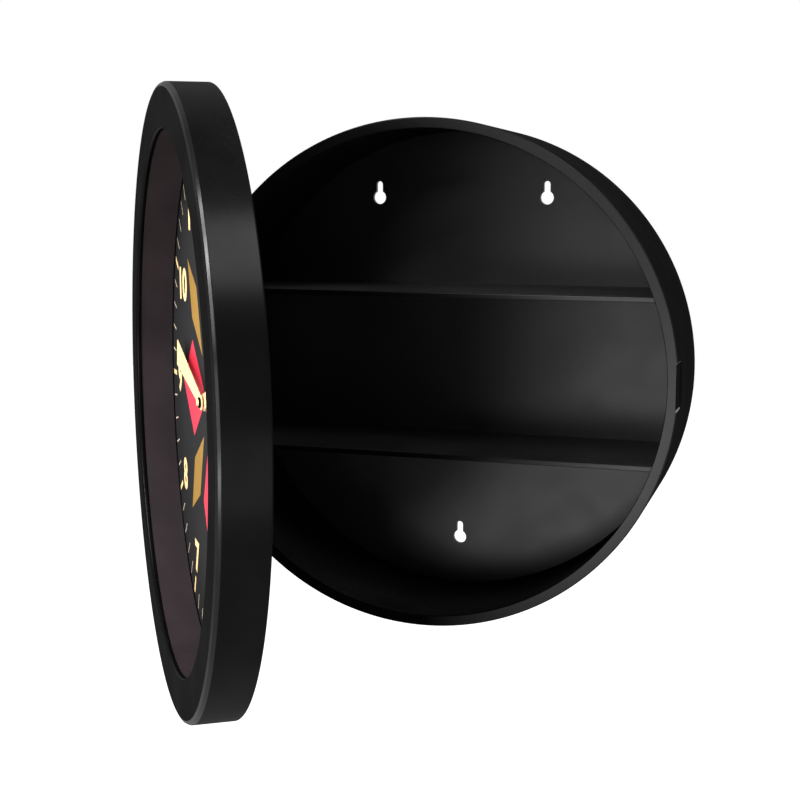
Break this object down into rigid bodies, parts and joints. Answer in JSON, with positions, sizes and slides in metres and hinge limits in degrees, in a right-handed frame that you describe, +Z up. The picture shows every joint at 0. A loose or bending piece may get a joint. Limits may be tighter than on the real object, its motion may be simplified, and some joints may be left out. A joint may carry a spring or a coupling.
{
  "type": "clock diversion safe",
  "caption": "Round wall clock whose face swings open on a side hinge over a shallow shelved drum that hangs on the wall by keyholes.",
  "frame": {"origin": "centre of the back panel's rear face, which lies against the wall", "axes": "+Z up, +Y into the wall, so the drum reaches out along -Y; the hinge is at -X, and the door stands open as in the picture"},
  "size_m": [0.3718, 0.4084, 0.3628],
  "materials": {
    "black_plastic": "satin black moulded plastic",
    "well_plastic": "satin smoked-black moulded plastic",
    "black_sheet": "satin black sheet",
    "dial_print": "charcoal dial with cream and gold print",
    "hand_gold": "pale gold enamel",
    "zinc_steel": "zinc plated",
    "brass": "plain turned",
    "rubber": "matt",
    "magnet": "ground ferrite",
    "movement_plastic": "fine spark-eroded texture",
    "copper_wire": "enamelled wire",
    "circuit_board": "green solder resist",
    "battery": "printed sleeve with bare ends"
  },
  "bodies": {
    "case": {"drum_shell": "black_plastic", "back_panel": "black_sheet", "upper_shelf": "black_sheet", "lower_shelf": "black_sheet", "hinge_saddle": "black_plastic", "case_hinge_leaf": "zinc_steel", "hinge_pin": "zinc_steel", "case_hinge_screw_upper": "zinc_steel", "case_hinge_screw_lower": "zinc_steel", "case_hinge_nut_upper": "zinc_steel", "case_hinge_nut_lower": "zinc_steel", "catch_magnet": "magnet"},
    "door": {"bezel_frame": "black_plastic", "well_ring": "well_plastic", "door_back_cover": "black_plastic", "dial_plate": "dial_print", "door_hinge_leaf": "zinc_steel", "catch_strike": "zinc_steel", "back_cover_screw_1": "zinc_steel", "back_cover_screw_2": "zinc_steel", "back_cover_screw_3": "zinc_steel", "back_cover_screw_4": "zinc_steel", "back_cover_screw_5": "zinc_steel", "back_cover_screw_6": "zinc_steel", "door_hinge_screw_upper": "zinc_steel", "door_hinge_screw_lower": "zinc_steel", "bumper_1": "rubber", "bumper_2": "rubber", "bumper_3": "rubber", "bumper_4": "rubber", "movement_washer": "rubber", "movement_front_case": "movement_plastic", "movement_rear_case": "movement_plastic", "threaded_bushing": "brass", "bushing_nut": "brass", "circuit_board": "circuit_board", "drive_coil": "copper_wire", "battery_cell": "battery", "battery_contact_positive": "zinc_steel", "battery_contact_negative": "zinc_steel"},
    "minute_works": {"minute_hand": "hand_gold", "hub_cap": "black_plastic", "minute_shaft": "zinc_steel"},
    "hour_works": {"hour_hand": "hand_gold", "hour_wheel": "movement_plastic"},
    "setting_works": {"minute_wheel": "movement_plastic", "set_knob": "movement_plastic"}
  },
  "joints": [
    {"name": "door_swing", "type": "hinge", "parent": "case", "child": "door", "pos_m": [-0.1764, -0.0969, 0], "axis": [0, 0, -1], "range_deg": [-55.5, 89.5]},
    {"name": "minute_hand_turn", "type": "hinge", "parent": "door", "child": "minute_works", "pos_m": [-0.08077, -0.24522, 0], "axis": [0.8241, 0.5664, 0], "continuous": true},
    {"name": "hour_hand_turn", "type": "hinge", "parent": "door", "child": "hour_works", "pos_m": [-0.08077, -0.24522, 0], "axis": [0.8241, 0.5664, 0], "continuous": true},
    {"name": "set_knob_turn", "type": "hinge", "parent": "door", "child": "setting_works", "pos_m": [-0.08077, -0.24522, 0.01], "axis": [0.8241, 0.5664, 0], "continuous": true}
  ],
  "couplings": [
    {"joint": "hour_hand_turn", "follows": "minute_hand_turn", "ratio": 0.083333},
    {"joint": "set_knob_turn", "follows": "minute_hand_turn", "ratio": -0.33333}
  ]
}
